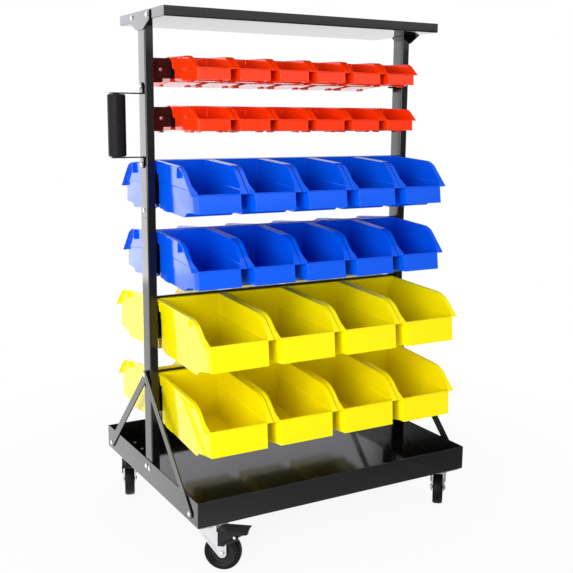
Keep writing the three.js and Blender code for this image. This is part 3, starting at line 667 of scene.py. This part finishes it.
# A flat bar with round ends between two points on the cart's end, seen along X.
def makeBrace(name, side, face, outerBar, values):
    stand = values["outerStand"] if outerBar else 0
    topFace = values["topFace"] + stand
    slope = (values["lipFace"] - topFace) / (values["topHeight"] - values["trayRim"])
    rise = values["topHeight"] - values["bottomHeight"]
    top = Vector((side * topFace, 0, values["topHeight"]))
    bottom = Vector((side * (topFace + slope * rise), face * values["bottomOffset"], values["bottomHeight"]))
    up = (top - bottom).normalized()
    across = (Vector((0, side, 0)) - up * side * up.y).normalized()
    out = across.cross(up)
    place = Matrix((out, across, up)).transposed().to_4x4()
    place.translation = bottom
    half, length = values["halfWidth"], (top - bottom).length
    bm = bmesh.new()
    verts = addBlock(bm, (0, -half, -half), (values["sheet"], half, length + half))
    bevelEdges(bm, edgesAlong(verts, "x"), half * 0.995, 8)
    finishPiece(bm, name + "_bar", "frame", "coated_steel", [name], bevel=0.4, place=place)
    spots = [((values["sheet"], 0, 0), "+x")]
    if outerBar:
        spots.append(((values["sheet"], 0, length), "+x"))
    makeBolts(name + "_bolts", "frame", "bolt", spots, place)


for name, side in sides.items():
    makeBracket(f"top_bracket_{name}", side, bracket)
    makeBrace(f"brace_{name}_front", side, -1, True, brace)
    makeBrace(f"brace_{name}_rear", side, 1, False, brace)
    wall, across = side * trays["base_tray"]["halfLength"], brace["footBoltY"]
    makeBolts(f"tray_bolts_{name}", "frame", "bolt", [
        ((wall, face * across, brace["footBoltHeight"]), facings[side]) for face in (-1, 1)])
print("stage: brackets and braces")


# Handle.
handle = dict(
    halfWidth=9, sheet=3, face=-348.0, reach=73, upperArm=992.55, lowerArm=854.55,
    earRise=16.5, bend=4, armRound=4, rodRadius=6, gripAxis=-405.7, gripRadius=19.2, gripEndGap=0.5,
    gripRound=3.5,
)


def makeHandle(values):
    bm = bmesh.new()
    half, sheet, face = values["halfWidth"], values["sheet"], values["face"]
    outer = uprights["outer"] + values["reach"]
    for arm, way in ((values["upperArm"], 1), (values["lowerArm"], -1)):
        under = arm - way * sheet
        tip = under + way * (values["earRise"] + half)
        back = face - sheet
        outline = [(-outer, under), (-outer, arm), (back, arm), (back, tip), (face, tip), (face, under)]
        verts = addPrism(bm, "y", outline, -half, half)
        bend = edgesAlong(
            verts, "y", lambda middle: abs(middle.x - face) < 0.1 and abs(middle.z - under) < 0.1)
        bevelEdges(bm, bend, values["bend"], 4)
        inside = edgesAlong(
            bm.verts, "y", lambda middle: abs(middle.x - back) < 0.1 and abs(middle.z - arm) < 0.1)
        bevelEdges(bm, inside, values["bend"] * 0.4, 3)
        ends = edgesAlong(bm.verts, "x", lambda middle: abs(middle.z - tip) < 0.1)
        bevelEdges(bm, ends, half * 0.99, 7)
        corners = edgesAlong(bm.verts, "z", lambda middle: abs(middle.x + outer) < 0.1)
        bevelEdges(bm, corners, values["armRound"], 4)
    low, high = values["lowerArm"] + sheet - 0.5, values["upperArm"] - sheet + 0.5
    addCylinder(bm, "z", (values["gripAxis"], 0, (low + high) / 2), values["rodRadius"], high - low, 24)
    finishPiece(bm, "handle_strap_bar", "frame", "coated_steel", ["handle_strap"], bevel=0.4)
    makeBolts("handle_bolts", "frame", "bolt", [
        ((face - sheet, 0, arm + way * (values["earRise"] - sheet)), "-x")
        for arm, way in ((values["upperArm"], 1), (values["lowerArm"], -1))])


def makeGrip(values):
    bm = bmesh.new()
    bottom = values["lowerArm"] + values["sheet"] + values["gripEndGap"]
    top = values["upperArm"] - values["sheet"] - values["gripEndGap"]
    middle = (values["gripAxis"], 0, (bottom + top) / 2)
    addCylinder(bm, "z", middle, values["gripRadius"], top - bottom, 40)
    rims = [edge for edge in bm.edges if abs(edge.verts[0].co.z - edge.verts[1].co.z) < 0.01]
    bevelEdges(bm, rims, values["gripRound"], 4)
    finishPiece(bm, "handle_grip_foam", "frame", "grip_foam", ["handle_grip"], bevel=0)


makeHandle(handle)
makeGrip(handle)
print("stage: handle")


# Rails.
rail = dict(
    plateInner=1.8, sheet=2, plateHeight=43, webDrop=18, channel=5.2, half=327.4,
    bend=1.6, boltReach=305.7,
)


def makeRail(face, number, level, values):
    bm = bmesh.new()
    inner, sheet = values["plateInner"], values["sheet"]
    outer = inner + sheet
    lipInner = outer + values["channel"]
    lipOuter = lipInner + sheet
    top = level["height"]
    web, bottom = top - values["webDrop"], top - values["plateHeight"]
    lip = top - level["lipStop"]
    points = [
        (-inner, top), (-inner, bottom), (-outer, bottom), (-outer, web), (-lipOuter, web), (-lipOuter, lip),
        (-lipInner, lip), (-lipInner, web + sheet), (-outer, web + sheet), (-outer, top),
    ]
    verts = addPrism(bm, "x", points, -values["half"], values["half"])
    bend = edgesAlong(verts, "x", lambda middle: abs(middle.y + lipOuter) < 0.1 and abs(middle.z - web) < 0.1)
    bevelEdges(bm, bend, values["bend"], 3)
    name, turn = f"rail_{face}_{number}", faces[face]
    finishPiece(bm, name + "_bar", "frame", "coated_steel", [name], bevel=0.35, place=turn)
    spots = []
    for side in (-1, 1):
        for drop in level["boltDrops"]:
            stand = -outer if drop < values["plateHeight"] else -uprights["tabSheet"] / 2
            spots.append(((side * values["boltReach"], stand, top - drop), "-y"))
    makeBolts(name + "_bolts", "frame", "small", spots, turn)


for face in faces:
    for number, level in enumerate(levels, 1):
        makeRail(face, number, level, rail)
print("stage: rails")


# Bins.
# In a bin's own frame Y points backwards from the outer face of the rail's lip, and Z up from its top edge.
bins = dict(
    red=dict(
        count=6, pitch=95.5, half=39.5, panelHalf=36.3, bevel=8, rim=4.8, knee=95,
        kneeRound=9, lip=124.5, lipDrop=24, panelHeight=25, panelLean=2, floorDepth=52,
        foot=92, archStart=98, archDepth=49.5, archEnd=116, draft=1, ledge=None,
        apronDrop=19, webs=[], stubs=[(68, 84)], finish="red_plastic",
    ),
    blue=dict(
        count=5, pitch=130.8, half=56, panelHalf=49, bevel=15, rim=5, knee=139.6,
        kneeRound=16, lip=194, lipDrop=51, panelHeight=39, panelLean=8, floorDepth=105,
        foot=143, archStart=152, archDepth=95, archEnd=178, draft=1.5, ledge=-40,
        apronDrop=24, webs=[(119.5, 20.5)], stubs=[(26, 54)], finish="blue_plastic",
    ),
    yellow=dict(
        count=4, pitch=163.6, half=72.4, panelHalf=67, bevel=16, rim=2.2, knee=201,
        kneeRound=20, lip=252, lipDrop=43.4, panelHeight=54.6, panelLean=10, floorDepth=121,
        foot=194, archStart=205, archDepth=110, archEnd=250, draft=3.5, ledge=-45,
        apronDrop=27, webs=[(172, 18)], stubs=[(24, 58)], finish="yellow_plastic",
    ),
)
binCommon = dict(
    wall=2, rimSheet=2.5, backPlay=2, floorLean=2, seam=1.0, ledgeStep=0.9,
    ledgeRise=1.2, footRound=6, backRound=5, lipBead=1.6,
    webSheet=2, webRoot=1.2, webInset=0.7, stubDrop=2.5, stubWidth=9, stubInset=0.6,
    apronShoulder=3, apronFlare=3.5, apronSheet=1.5,
    hookSheet=2.5, hookPlay=0.8, hookSeat=0.4, hookLeg=8,
)


def alongX(bm, y, z):
    return edgesAlong(bm.verts, "x", lambda middle: abs(middle.y - y) < 0.05 and abs(middle.z - z) < 0.05)


def cut(bm, place, normal, **settings):
    everything = bm.verts[:] + bm.edges[:] + bm.faces[:]
    return bmesh.ops.bisect_plane(bm, geom=everything, plane_co=place, plane_no=normal, **settings)


# A closed solid from an open sheet, which grows inwards from its faces.
def thickened(bm, wall):
    mesh = meshFrom(bm, "sheet")
    sheet = addObject("sheet", mesh)
    thick = sheet.modifiers.new("thick", "SOLIDIFY")
    thick.solidify_mode = "NON_MANIFOLD"
    thick.nonmanifold_thickness_mode = "CONSTRAINTS"
    thick.thickness = wall
    thick.offset = -1
    grown = bmesh.new()
    grown.from_object(sheet, bpy.context.evaluated_depsgraph_get())
    bpy.data.objects.remove(sheet)
    bpy.data.meshes.remove(mesh)
    return grown


def makeBinMesh(values, common):
    bm = bmesh.new()
    half, rim, draft, depth = values["half"], values["rim"], values["draft"], values["floorDepth"]
    knee, lip, foot = -values["knee"], -values["lip"], -values["foot"]
    under, floor, back = rim - common["rimSheet"], rim - depth, common["backPlay"]
    panelTop, panelBottom = under - values["lipDrop"], rim - values["lipDrop"] - values["panelHeight"]
    panelFoot, rear = lip - values["panelLean"], -back - common["floorLean"]
    outline = [
        (-back, under), (knee, under), (lip, panelTop), (panelFoot, panelBottom),
        (-values["archEnd"], panelBottom), (-values["archStart"], rim - values["archDepth"]),
        (foot, floor), (rear, floor),
    ]
    addPrism(bm, "x", outline, -half, half)
    bevelEdges(bm, alongX(bm, knee, under), values["kneeRound"], 5)
    bevelEdges(bm, alongX(bm, foot, floor), common["footRound"], 3)
    bevelEdges(bm, alongX(bm, rear, floor), common["backRound"], 3)
    # The side walls draw in towards the floor.
    for vert in bm.verts:
        share = (rim - vert.co.z) / depth
        vert.co.x -= math.copysign(draft * share, vert.co.x)
    # The front corners are cut off on a slant that follows the panel's lean.
    for side in (-1, 1):
        top = Vector((side * values["panelHalf"], lip, panelTop))
        aside = Vector((side * half, lip + values["bevel"], panelTop))
        share = values["panelHeight"] / depth
        below = Vector((side * (values["panelHalf"] - draft * share), panelFoot, panelBottom))
        normal = (aside - top).cross(below - top)
        if normal.x * side < 0:
            normal.negate()
        cutOff = cut(bm, top, normal, clear_outer=True)
        rimEdges = [item for item in cutOff["geom_cut"] if isinstance(item, bmesh.types.BMEdge)]
        bmesh.ops.edgeloop_fill(bm, edges=rimEdges)
    bmesh.ops.recalc_face_normals(bm, faces=bm.faces)
    lid = [face for face in bm.faces if face.normal.z > 0.45 and face.calc_center_median().z > panelTop]
    bmesh.ops.delete(bm, geom=lid, context="FACES_ONLY")
    # A small ledge runs round the inside and the outside, where the walls step out.
    if values["ledge"] is not None:
        for height in (values["ledge"], values["ledge"] - common["ledgeRise"]):
            cut(bm, (0, 0, height), (0, 0, 1))
        for vert in bm.verts:
            if vert.co.z > values["ledge"] - 0.01 and abs(vert.co.x) > values["panelHalf"] + 1:
                vert.co.x += math.copysign(common["ledgeStep"], vert.co.x)
    # The flange round the top runs out to the next bin.
    reach = values["pitch"] / 2 - common["seam"]
    rimEdges = [edge for edge in bm.edges if edge.is_boundary]
    sideEdges = [edge for edge in rimEdges if abs(edge.verts[0].co.y - edge.verts[1].co.y) > 0.2]
    frontEdges = [edge for edge in rimEdges if edge not in sideEdges and edge.verts[0].co.y < -back - 1]
    grown = vertsOf(bmesh.ops.extrude_edge_only(bm, edges=sideEdges))
    for vert in grown:
        vert.co.x = math.copysign(reach, vert.co.x)
    bead = vertsOf(bmesh.ops.extrude_edge_only(bm, edges=frontEdges))
    bmesh.ops.translate(bm, verts=bead, vec=(0, -common["lipBead"], 0))
    bmesh.ops.remove_doubles(bm, verts=bm.verts, dist=0.01)
    bmesh.ops.recalc_face_normals(bm, faces=bm.faces)
    bottom = min(bm.faces, key=lambda face: face.calc_center_median().z)
    if bottom.normal.z > 0:
        bmesh.ops.reverse_faces(bm, faces=bm.faces[:])
    bm = thickened(bm, common["wall"])
    # Webs under the flange, and stub feet under the floor.
    for side in (-1, 1):
        for away, drop in values["webs"]:
            start, end = sorted((side * (half - common["webRoot"]), side * (reach - common["webInset"])))
            thickness = common["webSheet"] / 2
            addBlock(bm, (start, -away - thickness, -drop), (end, -away + thickness, under - 0.5))
        for near, away in values["stubs"]:
            outer = half - draft - common["stubInset"]
            start, end = sorted((side * outer, side * (outer - common["stubWidth"])))
            addBlock(bm, (start, -away, floor - common["stubDrop"]), (end, -near, floor + 1))
    # The hook over the rail's lip, and the apron that hangs in front of it.
    legEnd, tip, seat = rail["sheet"] + common["hookPlay"], -common["hookLeg"], common["hookSeat"]
    legBack = legEnd + common["hookSheet"]
    hook = [
        (-back - 0.5, rim), (legBack, rim), (legBack, tip), (legEnd, tip), (legEnd, seat),
        (-back - 0.5, seat),
    ]
    addPrism(bm, "x", hook, -reach, reach)
    drop, shoulder, flare = values["apronDrop"], common["apronShoulder"], common["apronFlare"]
    toe = half - draft * 0.2 + flare
    edge = [
        (reach, rim - 1), (reach, -shoulder), (reach - 2.5, -shoulder - 1), (toe, -drop),
        (toe - 1.5, -drop - 2),
    ]
    apron = [(-across, height) for across, height in edge] + edge[::-1]
    addPrism(bm, "y", apron, -back - 0.2, -back + common["apronSheet"])
    return bm


def makeBins():
    lipOuter = rail["plateInner"] + 2 * rail["sheet"] + rail["channel"]
    for face, turn in faces.items():
        for number, level in enumerate(levels, 1):
            values = bins[level["kind"]]
            seat = Matrix.Translation((0, -lipOuter, level["height"] - level["lipStop"]))
            lean = turned(level["lean"][face], "X")
            for index in range(values["count"]):
                shift = Matrix.Translation(((index - (values["count"] - 1) / 2) * values["pitch"], 0, 0))
                bm = bmesh.new()
                bm.from_mesh(binMeshes[level["kind"]])
                finishPiece(
                    bm, f"bin_{face}_{number}_{index + 1}", f"row_{face}_{number}", values["finish"],
                    [f"bins_{face}_{number}"], bevel=0.5, place=turn @ seat @ lean @ shift, merge=False)


binMeshes = {
    kind: meshFrom(makeBinMesh(values, binCommon), f"template_{kind}") for kind, values in bins.items()}
makeBins()
for template in binMeshes.values():
    bpy.data.meshes.remove(template)
print("stage: bins")


# Casters.
# In a caster's own frame the origin is on the swivel axis at floor height, and the wheel trails towards +X.
casterSpots = [  # name, side, face, heading in degrees
    ("front_left", -1, -1, -38.9), ("front_right", 1, -1, 50.6),
    ("rear_left", -1, 1, -109.6), ("rear_right", 1, 1, 141.1),
]
caster = dict(
    besideX=310, besideY=236, plateX=36, plateY=35, plateTop=107.7, plateSheet=2.5,
    plateCorner=7, boltX=26, boltY=25.5, trayFloor=110, racewayRadius=22,
    racewayHeight=5, pinRadius=5, pinHead=9, pinNeck=6, pinPlay=0.3, forkTop=99.9,
    forkSheet=3, forkHalf=23, legInner=13.2, legOuter=15.7, legBack=-16,
    legShoulder=85, legTurn=-147.6, trail=34, axleHeight=40, axleRadius=4,
    axlePlay=0.3, legEnd=10, underPedal=87, tongueEnd=41, tongueStep=60.5,
    ribRise=0.5, ribInset=3.2, ribWidth=2.4, ribStart=5, ribEnd=7,
)
wheel = dict(  # half profiles: distance from the axis and from the wheel's middle
    radius=40,
    tyre=[(29, 10.6), (30.8, 11.5), (32, 12), (35.8, 12), (37.8, 11.1), (39.1, 9), (39.85, 5)],
    core=[(4.3, 12), (11, 12), (12, 11), (12.6, 7), (24, 7), (25, 8.4), (27.8, 10.6), (28.95, 10.6)],
)
pedal = dict(
    inner=16.0, outer=18.5, hinge=(62, 79), hingeRadius=3.5, hingeEnd=7, head=21.0,
    tread=(26, 90, 89, 92), panelInset=1.7, panelDepth=0.7,
    cheekRound=1.6, treadRound=3, ribs=4, ribPitch=5, ribWidth=1.2, ribInset=4,
    outline=[(26, 92), (26, 57), (41, 57), (41, 60.5), (69.5, 73), (71.5, 84.5), (88, 86), (93, 92)],
)


def arcPoints(centre, radius, start, end, steps):
    angles = [math.radians(start + (end - start) * index / steps) for index in range(steps + 1)]
    return [(centre[0] + radius * math.cos(angle), centre[1] + radius * math.sin(angle)) for angle in angles]


def makeCasterPlate(name, place, values):
    bm = bmesh.new()
    x, y, top = values["plateX"], values["plateY"], values["plateTop"]
    under = top - values["plateSheet"]
    verts = addBlock(bm, (-x, -y, under), (x, y, top))
    bevelEdges(bm, edgesAlong(verts, "z"), values["plateCorner"], 4)
    radius, low = values["racewayRadius"], under - values["racewayHeight"]
    addLathe(bm, "z", (0, 0, 0), [
        (0, low), (radius - 3, low), (radius - 0.8, low + 0.8), (radius, low + 2.4),
        (radius - 1.2, low + 3.4), (radius - 1.2, under + 0.2), (0, under + 0.2)], 40)
    head, wide = values["forkTop"] - values["forkSheet"] - values["pinPlay"], values["pinHead"]
    addCylinder(bm, "z", (0, 0, (head + low) / 2), values["pinRadius"], low - head + 0.4, 20)
    addLathe(bm, "z", (0, 0, 0), [
        (0, head - 3), (values["pinNeck"], head - 3), (wide, head - 1.6), (wide, head), (0, head)], 24)
    finishPiece(
        bm, name + "_plate_sheet", "frame", "zinc", [name + "_plate"], bevel=0.35, segments=1, place=place)
    spots = []
    for sideX in (-1, 1):
        for sideY in (-1, 1):
            at = (sideX * values["boltX"], sideY * values["boltY"])
            spots.append(((*at, values["trayFloor"]), "+z"))
            spots.append(((*at, under), "-z"))
    makeBolts(name + "_bolts", "frame", "small", spots, place)


def makeCasterFork(name, body, place, values):
    bm = bmesh.new()
    top, sheet, half = values["forkTop"], values["forkSheet"], values["forkHalf"]
    inner, outer = values["legInner"], values["legOuter"]
    corner = math.degrees(math.asin((outer - 0.05) / half))
    yoke = arcPoints((0, 0), half, corner, 180 - corner, 10)
    yoke = [(half, outer - 0.05), *yoke, (-half, outer - 0.05), (-half, 0.05 - outer)]
    yoke += [*arcPoints((0, 0), half, 180 + corner, 360 - corner, 10), (half, 0.05 - outer)]
    addPrism(bm, "z", yoke, top - sheet, top)
    axle = (values["trail"], values["axleHeight"])
    leg = [(values["legBack"], top - 0.05), (values["legBack"], values["legShoulder"])]
    leg += arcPoints(axle, values["legEnd"], values["legTurn"], 0, 14)
    leg += [(axle[0] + values["legEnd"], values["tongueStep"])]
    leg += arcPoints(pedal["hinge"], pedal["hingeEnd"], -90, 90, 12)
    leg += [(values["tongueEnd"], values["underPedal"]), (half, values["underPedal"]), (half, top - 0.05)]
    # A rib is pressed along the leg's leading edge.
    start = Vector((values["legBack"] + values["ribInset"], values["legShoulder"] - 2))
    turn = math.radians(values["legTurn"])
    end = Vector(axle) + values["legEnd"] * Vector((math.cos(turn), math.sin(turn)))
    way = (end - start).normalized()
    across = Vector((-way.y, way.x))
    first = start + across * values["ribInset"] + way * values["ribStart"]
    last = end + across * values["ribInset"] - way * values["ribEnd"]
    rib = [first, last, last + across * values["ribWidth"], first + across * values["ribWidth"]]
    for side in (-1, 1):
        addPrism(bm, "y", leg, side * inner, side * outer)
        addPrism(bm, "y", rib, side * (outer - 0.2), side * (outer + values["ribRise"]))
        x, z = pedal["hinge"]
        radius, root, tip = pedal["hingeRadius"], side * (inner + 0.5), side * pedal["head"]
        addLathe(bm, "y", (x, 0, z), [
            (0, root), (radius, root), (radius, tip - side), (radius - 1, tip), (0, tip)], 20)
    finishPiece(bm, name + "_fork_sheet", body, "zinc", [name + "_fork"], bevel=0.35, segments=2, place=place)


def makeCasterAxle(name, body, place, values):
    bm = bmesh.new()
    face = values["legOuter"] + values["axlePlay"]
    centre = (values["trail"], 0, values["axleHeight"])
    addCylinder(bm, "y", centre, values["axleRadius"], 2 * face, 20)
    for side, facing in ((-1, "-y"), (1, "+y")):
        addBolt(bm, "axle", (centre[0], side * face, centre[2]), facing)
    finishPiece(
        bm, name + "_axle_bolt", body, "zinc", [name + "_axle"],
        bevel=0.25, segments=1, place=place, merge=False)


def makeWheel(name, body, place, values, fork):
    centre = (fork["trail"], 0, fork["axleHeight"])
    for part, finish, segments, bevel, middle in (
            ("tyre", "black_rubber", 64, 0, [(values["radius"], 0)]), ("core", "black_plastic", 48, 0.3, [])):
        flank = values[part]
        profile = flank + middle + [(distance, -along) for distance, along in reversed(flank)]
        bm = bmesh.new()
        addLathe(bm, "y", centre, profile, segments, closed=True)
        finishPiece(bm, f"{name}_{part}", body, finish, [name + "_wheel"], bevel, segments=1, place=place)


def makePedal(name, body, place, values):
    bm = bmesh.new()
    for side in (-1, 1):
        cheek = addPrism(bm, "y", values["outline"], side * values["inner"], side * values["outer"])
        bevelEdges(bm, edgesAlong(cheek, "y"), values["cheekRound"], 3)
    bmesh.ops.recalc_face_normals(bm, faces=bm.faces)
    outward = [face for face in bm.faces if abs(face.normal.y) > 0.9]
    panels = [face for face in outward if abs(face.calc_center_median().y) > values["outer"] - 0.01]
    bmesh.ops.inset_individual(
        bm, faces=panels, thickness=values["panelInset"], depth=-values["panelDepth"], use_even_offset=True)
    start, end, low, high = values["tread"]
    wide = values["outer"] - 0.05
    tread = addBlock(bm, (start + 0.1, -wide, low), (end, wide, high - 0.02))
    bevelEdges(bm, edgesAlong(tread, "z", lambda middle: middle.x > end - 1), values["treadRound"], 3)
    for index in range(values["ribs"]):
        edge = end - values["ribPitch"] * (index + 1)
        lowest = (edge - values["ribWidth"], -wide + values["ribInset"], high - 0.3)
        addBlock(bm, lowest, (edge, wide - values["ribInset"], high))
    finishPiece(
        bm, name + "_pedal_body", body, "black_plastic", [name + "_pedal"],
        bevel=0.4, segments=2, place=place, merge=False)


for name, side, face, heading in casterSpots:
    place = Matrix.Translation((side * caster["besideX"], face * caster["besideY"], 0))
    headed = place @ turned(heading, "Z")
    piece = f"caster_{name}"
    makeCasterPlate(piece, place, caster)
    makeCasterFork(piece, f"{name}_fork", headed, caster)
    makeCasterAxle(piece, f"{name}_fork", headed, caster)
    makeWheel(piece, f"{name}_wheel", headed, wheel, caster)
    makePedal(piece, f"{name}_pedal", headed, pedal)
print("stage: casters")
